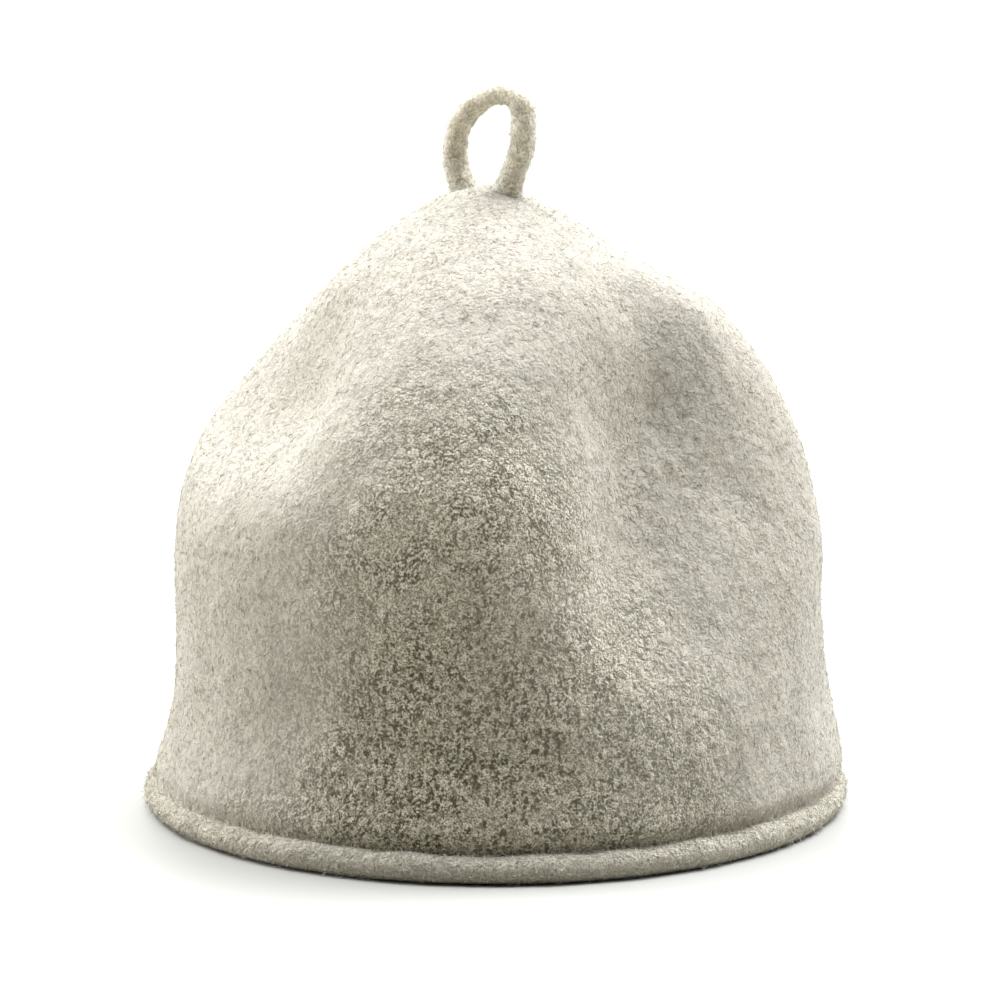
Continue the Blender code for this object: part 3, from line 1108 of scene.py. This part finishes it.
@dataclass(frozen=True)
class FeltedCrown:
    """The hat's hollow bell: its outside, its lower edge over the roll, and its inside."""

    form: HatForm
    finish: FeltFinish
    nap_finish: NapFinish
    naps: tuple[Nap, ...]
    nap_fibres: int = 16000
    crease_nap: float = 3.0
    nap_from: float = 0.0005
    nap_off_peak: float = 0.0006
    nap_levels: int = 900
    wall: float = 0.0035
    sink: float = 0.0002
    roll_radius: float = ROLL_RADIUS
    roll_height: float = ROLL_HEIGHT
    rim_radius: float = RIM_RADIUS
    around: int = 460
    rows_rim: int = 14
    rows_outside: int = 166
    rows_inside: int = 22
    rows_edge: int = 4
    rim_climb: float = 0.010
    crease_painted_shade: float = 0.18
    inside_calm: float = 0.01
    inside_unevenness: Unevenness = Unevenness(
        seed=21, waves=30, shortest=0.006, longest=0.018, swing=0.0003
    )

    def profile(self) -> list[tuple[float, float]]:
        """Stations of the turned outline as a climb and a share of the wall's depth.

        Returns:
            The stations, up the inside from the peak, across the edge and up the outside.
        """
        peak = self.form.peak_climb
        inside = [(peak * row / self.rows_inside, 1.0) for row in range(self.rows_inside, -1, -1)]
        edge = [(0.0, 1 - row / self.rows_edge) for row in range(1, self.rows_edge)]
        rim = [(self.rim_climb * row / self.rows_rim, 0.0) for row in range(self.rows_rim)]
        step = (peak - self.rim_climb) / self.rows_outside
        outside = [(self.rim_climb + step * row, 0.0) for row in range(self.rows_outside + 1)]
        return inside + edge + rim + outside

    def turned_shell(self) -> bmesh.types.BMesh:
        """The undented shell, turned about Z. Each vertex keeps its climb and depth."""
        shell = bmesh.new()
        climb_layer = shell.verts.layers.float.new("climb")
        depth_layer = shell.verts.layers.float.new("depth")
        line = []
        for climb, depth in self.profile():
            at_peak = climb >= self.form.peak_climb - MERGE_DISTANCE
            half_width = self.form.sections_at(np.array((climb,)))[0, 3]
            radius = 0.0 if at_peak else half_width - depth * self.wall
            vertex = shell.verts.new((0.0, -radius, climb - depth * self.wall))
            vertex[climb_layer] = climb
            vertex[depth_layer] = depth
            line.append(vertex)
        edges = [shell.edges.new(pair) for pair in zip(line, line[1:])]
        turn_round(shell, line + edges, self.around)
        return shell

    def seat(self, radius: Array) -> Array:
        """Heights of the lower edge where it straddles the roll."""
        reach = self.roll_radius - self.sink
        rise = np.clip(reach**2 - (radius - self.rim_radius) ** 2, 0, None)
        return self.roll_height + np.sqrt(rise)

    def shell_mesh(self) -> bpy.types.Mesh:
        """The shell pressed into the hat's form."""
        mesh = mesh_of(self.turned_shell(), "crown_shell")
        places = vertex_rows(mesh, "co")
        climb, depth = vertex_values(mesh, "climb"), vertex_values(mesh, "depth")
        azimuth = np.arctan2(places[:, 0], -places[:, 1])
        outer, normals = self.form.face(climb, azimuth)
        inner = self.form.plain_points(climb, azimuth) - normals * self.wall
        calm = np.clip(climb / self.inside_calm, 0, 1)
        inner += normals * (self.inside_unevenness.heights(inner) * calm)[:, None]
        points = outer + (inner - outer) * depth[:, None]
        at_edge = climb == 0.0
        points[at_edge, 2] = self.seat(np.hypot(points[at_edge, 0], points[at_edge, 1]))
        move_vertices(mesh, points)
        # Painted shade in the crease over the roll, strongest where the groove is deepest.
        groove = self.form.groove(climb, azimuth) / self.form.groove_depth
        mark_painted_shade(mesh, np.where(depth == 0.0, self.crease_painted_shade * groove**2, 0.0))
        mesh.attributes.remove(mesh.attributes["climb"])
        mesh.attributes.remove(mesh.attributes["depth"])
        return mesh

    def nap_roots(self, seed: int) -> tuple[Array, Array]:
        """Evenly spread places on the outside for one nap's fibres.

        Args:
            seed: What sets this nap's places apart.

        Returns:
            The places and the outward directions there.
        """
        random = np.random.default_rng(seed)
        highest = self.form.peak_climb - self.nap_off_peak
        climbs = np.linspace(self.nap_from, highest, self.nap_levels)
        widths = np.abs(self.form.sections_at(climbs)[:, 3])
        near_crease = np.exp(-((climbs / self.form.groove_reach) ** 2))
        shares = np.cumsum(widths * (1 + self.crease_nap * near_crease))
        climb = np.interp(random.random(self.nap_fibres), shares / shares[-1], climbs)
        azimuth = random.uniform(-math.pi, math.pi, self.nap_fibres)
        return self.form.face(climb, azimuth)

    def build(self, effects: FeltEffects) -> list[bpy.types.Object]:
        """Build and dress the crown and its naps.

        Args:
            effects: The node groups that every felt shares.

        Returns:
            The pieces, the shell first.
        """
        shell = place_object("crown_shell", self.shell_mesh(), self.finish.material(effects))
        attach(shell, BODY)
        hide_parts("crown")
        pieces = [shell]
        wool = self.nap_finish.material()
        for nap in self.naps:
            roots, normals = self.nap_roots(nap.seed)
            piece = nap.build(roots, normals, wool)
            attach(piece, BODY)
            pieces.append(piece)
        return pieces


@dataclass(frozen=True)
class RimRoll:
    """The round felted edge that the hat stands on."""

    finish: FeltFinish
    nap_finish: NapFinish
    nap: Nap
    nap_fibres: int = 9000
    radius: float = ROLL_RADIUS
    centre_height: float = ROLL_HEIGHT
    rim_radius: float = RIM_RADIUS
    around: int = 460
    sides: int = 32
    lumps: Unevenness = Unevenness(seed=31, waves=24, shortest=0.006, longest=0.022, swing=0.00022)
    lumps_lag: float = 0.6
    # Painted shade under the roll: the height it reaches and its strength at the floor.
    painted_shade_height: float = 0.0019
    painted_shade_below: float = 0.55
    nap_turns: tuple[float, float] = (-0.9, 2.2)

    def point(self, azimuth: Array, turn: Array) -> tuple[Array, Array]:
        """Points of the roll's face.

        Args:
            azimuth: Azimuths in radians.
            turn: Turns round the roll's section, 0 outwards and a quarter turn at the top.

        Returns:
            Points and outward directions.
        """
        out = np.stack((np.sin(azimuth), -np.cos(azimuth), np.zeros_like(azimuth)), axis=1)
        normals = out * np.cos(turn)[:, None]
        normals[:, 2] = np.sin(turn)
        centres = out * self.rim_radius
        centres[:, 2] = self.centre_height
        points = centres + normals * self.radius
        lumpy = np.cos(turn / 2 - self.lumps_lag) ** 2
        points += normals * (self.lumps.heights(points) * lumpy)[:, None]
        points[:, 2] = points[:, 2].clip(0.0, None)
        return points, normals

    def mesh(self) -> bpy.types.Mesh:
        """The roll's section turned about Z, then made uneven and flat where it rests."""
        ring = bmesh.new()
        bmesh.ops.create_circle(ring, cap_ends=False, segments=self.sides, radius=self.radius)
        stand_up = Matrix.Rotation(math.pi / 2, 4, "Y")
        place = Matrix.Translation((0, -self.rim_radius, self.centre_height))
        bmesh.ops.transform(ring, matrix=place @ stand_up, verts=ring.verts)
        turn_round(ring, ring.verts[:] + ring.edges[:], self.around)
        mesh = mesh_of(ring, "rim_roll_felt")
        places = vertex_rows(mesh, "co")
        azimuth = np.arctan2(places[:, 0], -places[:, 1])
        turn = np.arctan2(
            places[:, 2] - self.centre_height, np.hypot(places[:, 0], places[:, 1]) - self.rim_radius
        )
        points, _ = self.point(azimuth, turn)
        move_vertices(mesh, points)
        # Painted shade on the roll's underside, strongest where it meets the floor.
        mark_painted_shade(mesh, self.painted_shade_below * (1 - points[:, 2] / self.painted_shade_height))
        return mesh

    def build(self, effects: FeltEffects) -> list[bpy.types.Object]:
        """Build and dress the roll and its nap.

        Args:
            effects: The node groups that every felt shares.

        Returns:
            The pieces, the roll first.
        """
        roll = place_object("rim_roll_felt", self.mesh(), self.finish.material(effects))
        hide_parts("rim_roll")
        random = np.random.default_rng(self.nap.seed)
        azimuth = random.uniform(-math.pi, math.pi, self.nap_fibres)
        turn = random.uniform(*self.nap_turns, self.nap_fibres)
        roots, normals = self.point(azimuth, turn)
        nap = self.nap.build(roots, normals, self.nap_finish.material())
        for piece in (roll, nap):
            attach(piece, BODY)
        return [roll, nap]


@dataclass(frozen=True)
class Bend:
    """A point of the loop's centre line in its own plane, with the cord's thickness there."""

    across: float
    above: float
    thickness: float


LOOP_BENDS = (
    Bend(-0.0104, 0.0045, 1.03),
    Bend(-0.0110, 0.0095, 1.03),
    Bend(-0.0101, 0.0145, 1.00),
    Bend(-0.0074, 0.0195, 0.95),
    Bend(-0.0027, 0.0238, 0.86),
    Bend(0.0026, 0.0263, 0.80),
    Bend(0.0074, 0.0269, 0.80),
    Bend(0.0112, 0.0256, 0.90),
    Bend(0.0133, 0.0224, 1.00),
    Bend(0.0137, 0.0175, 1.03),
    Bend(0.0129, 0.0122, 1.03),
    Bend(0.0112, 0.0070, 1.03),
)


@dataclass(frozen=True)
class HangingLoop:
    """A felted cord that grows out of the peak and bends back to it."""

    form: HatForm
    finish: FeltFinish
    nap_finish: NapFinish
    nap: Nap
    nap_fibres: int = 3000
    nap_scatter: float = 0.0002
    bends: tuple[Bend, ...] = LOOP_BENDS
    cord_radius: float = 0.0036
    turned: float = math.radians(35)
    centre_x: float = -0.003
    foot_spread: float = 0.0080
    foot_depth: float = 0.0012
    foot_rise: float = 0.0016
    foot_thickness: float = 1.32
    steps: int = 170
    bevel_resolution: int = 12
    lumps: Unevenness = Unevenness(seed=41, waves=24, shortest=0.004, longest=0.012, swing=0.00022)

    @property
    def sideways(self) -> Vector:
        """The loop's own direction to the right."""
        return Vector((math.cos(self.turned), -math.sin(self.turned), 0))

    @property
    def middle(self) -> Vector:
        """The peak under the loop's middle."""
        return Vector((self.centre_x, 0, self.form.sections[-1].height))

    def foot(self, side: Foot) -> list[tuple[Vector, float]]:
        """Points of the centre line where the cord grows out of the peak.

        Args:
            side: Which foot.

        Returns:
            Two points with the cord's thickness, the lower one first.
        """
        place = self.middle + self.sideways * side.value * self.foot_spread
        point, normal = self.form.near_peak(place.x, place.y, self.centre_x)
        return [
            (point - normal * self.foot_depth, self.foot_thickness),
            (point + normal * self.foot_rise, (1 + self.foot_thickness) / 2),
        ]

    def route(self) -> Array:
        """Even points on a smooth curve from foot to foot.

        Returns:
            One row of x, y, z and thickness for each point.
        """
        up = Vector((0, 0, 1))
        arch = [
            (self.middle + self.sideways * bend.across + up * bend.above, bend.thickness)
            for bend in self.bends
        ]
        given = self.foot(Foot.LEFT) + arch + self.foot(Foot.RIGHT)[::-1]
        points = np.array([(*point, thickness) for point, thickness in given])
        gaps = np.linalg.norm(np.diff(points[:, :3], axis=0), axis=1)
        ways = np.concatenate(((0.0,), np.cumsum(gaps)))
        slopes = np.gradient(points, ways, axis=0)
        way = np.linspace(0, ways[-1], self.steps + 1)
        low = np.clip(np.searchsorted(ways, way, side="right") - 1, 0, len(ways) - 2)
        span = (ways[low + 1] - ways[low])[:, None]
        share = (way - ways[low])[:, None] / span
        ends, leaving = (points[low], points[low + 1]), (slopes[low] * span, slopes[low + 1] * span)
        return eased(ends, leaving, share)

    def mesh(self) -> bpy.types.Mesh:
        """The cord as a mesh, made uneven."""
        curve = bpy.data.curves.new("loop_line", "CURVE")
        curve.dimensions = "3D"
        curve.bevel_depth = self.cord_radius
        curve.bevel_resolution = self.bevel_resolution
        curve.use_fill_caps = True
        route = self.route()
        spline = curve.splines.new("POLY")
        spline.points.add(len(route) - 1)
        for point, (x, y, z, thickness) in zip(spline.points, route):
            point.co = (x, y, z, 1)
            point.radius = thickness
        line = bpy.data.objects.new("loop_line", curve)
        tube = bpy.data.meshes.new_from_object(line)
        bpy.data.objects.remove(line)
        bpy.data.curves.remove(curve)
        shape = bmesh.new()
        shape.from_mesh(tube)
        bpy.data.meshes.remove(tube)
        mesh = mesh_of(shape, "hanging_loop_felt")
        places, normals = vertex_rows(mesh, "co"), vertex_rows(mesh, "normal")
        move_vertices(mesh, places + normals * self.lumps.heights(places)[:, None])
        mark_painted_shade(mesh, np.zeros(len(places)))
        mesh.materials.clear()
        return mesh

    def build(self, effects: FeltEffects) -> list[bpy.types.Object]:
        """Build and dress the loop and its nap.

        Args:
            effects: The node groups that every felt shares.

        Returns:
            The pieces, the cord first.
        """
        mesh = self.mesh()
        random = np.random.default_rng(self.nap.seed)
        chosen = random.integers(0, len(mesh.vertices), self.nap_fibres)
        places, normals = vertex_rows(mesh, "co"), vertex_rows(mesh, "normal")
        roots = places[chosen] + random.normal(0, self.nap_scatter, (self.nap_fibres, 3))
        nap = self.nap.build(roots, normals[chosen], self.nap_finish.material())
        loop = place_object("hanging_loop_felt", mesh, self.finish.material(effects))
        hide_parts("hanging_loop")
        for piece in (loop, nap):
            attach(piece, BODY)
        return [loop, nap]


@dataclass(frozen=True)
class SoftLight:
    """A soft light far off: where it stands, how closely it is gathered, and its strength and tint."""

    azimuth: float
    elevation: float
    gathering: float
    strength: float
    tint: Colour = (1.0, 1.0, 1.0)

    @property
    def direction(self) -> Colour:
        """The way from the hat to the light."""
        azimuth, elevation = math.radians(self.azimuth), math.radians(self.elevation)
        level = math.cos(elevation)
        return (math.sin(azimuth) * level, -math.cos(azimuth) * level, math.sin(elevation))


COOL = (0.98, 1.01, 1.11)
LIGHTS = (
    SoftLight(azimuth=0, elevation=90, gathering=20, strength=2.1, tint=COOL),
    SoftLight(azimuth=120, elevation=60, gathering=20, strength=25.0, tint=COOL),
    SoftLight(azimuth=240, elevation=60, gathering=20, strength=15.4, tint=COOL),
    SoftLight(azimuth=110, elevation=12, gathering=12, strength=2.3),
    SoftLight(azimuth=165, elevation=12, gathering=12, strength=1.9),
    SoftLight(azimuth=195, elevation=12, gathering=12, strength=4.7),
    SoftLight(azimuth=255, elevation=12, gathering=12, strength=6.8),
)


@dataclass(frozen=True)
class Studio:
    """Pale floor, soft light from above and behind, and the camera."""

    floor_size: float = 12.0
    floor_colour: Colour = (0.350, 0.341, 0.302)
    floor_roughness: float = 0.6
    camera_place: Colour = (0.0013, -1.2, 0.3004)
    camera_dip: float = math.radians(9.95)
    lens: float = 147.9
    sensor: float = 36.0
    lights: tuple[SoftLight, ...] = LIGHTS

    def lay_floor(self) -> None:
        """Lay the plain floor that the hat stands on."""
        sheet = bmesh.new()
        bmesh.ops.create_grid(sheet, x_segments=1, y_segments=1, size=self.floor_size / 2)
        mesh = bpy.data.meshes.new("floor")
        sheet.to_mesh(mesh)
        sheet.free()
        material = bpy.data.materials.new("floor_paper")
        material.use_nodes = True
        shader = material.node_tree.nodes["Principled BSDF"]
        shader.inputs["Base Color"].default_value = (*self.floor_colour, 1.0)
        shader.inputs["Roughness"].default_value = self.floor_roughness
        mesh.materials.append(material)
        floor = bpy.data.objects.new("floor", mesh)
        bpy.context.collection.objects.link(floor)

    def hang_light(self) -> None:
        """Make the sky the sum of the soft lights, and plain white to look at."""
        world = bpy.data.worlds.new("studio")
        bpy.context.scene.world = world
        world.use_nodes = True
        wiring = Wiring(world.node_tree)
        way = wiring.node("ShaderNodeTexCoord", {}).outputs["Generated"]
        total: Socket = (0.0, 0.0, 0.0)
        for light in self.lights:
            facing = wiring.vector("DOT_PRODUCT", way, light.direction)
            facing = wiring.maths("POWER", wiring.maths("MAXIMUM", facing, 0.0), light.gathering)
            glow = tuple(channel * light.strength for channel in light.tint)
            total = wiring.vector("MULTIPLY_ADD", wiring.joined(facing, facing, facing), glow, total)
        lit = wiring.node("ShaderNodeBackground", {"Color": total, "Strength": 1.0})
        plain = wiring.node("ShaderNodeBackground", {"Color": (1.0, 1.0, 1.0, 1.0), "Strength": 1.0})
        seen = wiring.node("ShaderNodeLightPath", {}).outputs["Is Camera Ray"]
        both = wiring.node("ShaderNodeMixShader", {"Fac": seen})
        wiring.feed(both.inputs[1], lit.outputs["Background"])
        wiring.feed(both.inputs[2], plain.outputs["Background"])
        wiring.node("ShaderNodeOutputWorld", {"Surface": both.outputs["Shader"]})

    def place_camera(self) -> None:
        """Put the camera at the photograph's angle and distance."""
        lens = bpy.data.cameras.new("camera")
        lens.lens = self.lens
        lens.sensor_width = self.sensor
        lens.clip_start = 0.01
        camera = bpy.data.objects.new("camera", lens)
        camera.location = self.camera_place
        camera.rotation_euler = (math.pi / 2 - self.camera_dip, 0, 0)
        bpy.context.collection.objects.link(camera)
        bpy.context.scene.camera = camera

    def build(self) -> None:
        """Set the stage, and show colours as they are."""
        self.place_camera()
        self.lay_floor()
        self.hang_light()
        bpy.context.scene.view_settings.view_transform = "Standard"


CROWN_FELT = FeltFinish(
    slot=Slot.CROWN, base=(0.76, 0.695, 0.495), painted_shade_colour=(0.075, 0.060, 0.025), fibre=(0.95, 0.905, 0.745),
    pebble_size=0.0034, relief=0.00060, pebble_share=1.0, pebble_rise=0.80,
    grain_size=0.00050, grain_share=1.0,
    calm=(0.368, 0.339, 0.278), knit=Knit(), cracks=CRACKS,
)
ROLL_FELT = FeltFinish(
    slot=Slot.ROLL, base=(0.53, 0.48, 0.355), painted_shade_colour=(0.12, 0.105, 0.07), fibre=(0.70, 0.67, 0.57),
    pebble_size=0.0032, relief=0.0008, pebble_share=0.22, grain_share=0.40,
)
LOOP_FELT = FeltFinish(
    slot=Slot.LOOP, base=(0.80, 0.75, 0.60), painted_shade_colour=(0.30, 0.26, 0.17), fibre=(0.90, 0.87, 0.76),
    pebble_size=0.0026, relief=0.0006, pebble_share=0.45, grain_share=0.60, through=0.7, sheen=0.6,
)
CROWN_NAP = NapFinish("crown_nap_wool", dull=(0.25, 0.225, 0.15), pale=(0.64, 0.595, 0.465))
ROLL_NAP = NapFinish("roll_nap_wool", dull=(0.30, 0.27, 0.19), pale=(0.84, 0.81, 0.69))
LOOP_NAP = NapFinish("loop_nap_wool", dull=(0.36, 0.33, 0.23), pale=(0.84, 0.81, 0.69))


def report(pieces: Sequence[bpy.types.Object]) -> None:
    """Log each piece with the number of its faces."""
    for piece in pieces:
        log.info("%s: %d faces", piece.name, len(piece.data.polygons))


def main() -> None:
    """Set the stage, then build the crown, the rim roll and the hanging loop."""
    logging.basicConfig(level=logging.INFO, format="%(name)s %(message)s")
    Studio().build()
    effects = FeltEffects(
        fulled_pebbles(), wool_grain(), curly_fibres(), felting_patches(), knit_gaps()
    )
    form = HatForm()
    crown_naps = tuple(Nap(f"crown_nap_{number}", seed=50 + number) for number in range(1, 4))
    crown = FeltedCrown(form, CROWN_FELT, CROWN_NAP, crown_naps)
    report(crown.build(effects))
    roll = RimRoll(ROLL_FELT, ROLL_NAP, Nap("rim_roll_nap", seed=61, thickness=0.00007, lift=0.0007))
    report(roll.build(effects))
    loop = HangingLoop(form, LOOP_FELT, LOOP_NAP, Nap("hanging_loop_nap", seed=71))
    report(loop.build(effects))


if __name__ == "__main__":
    main()
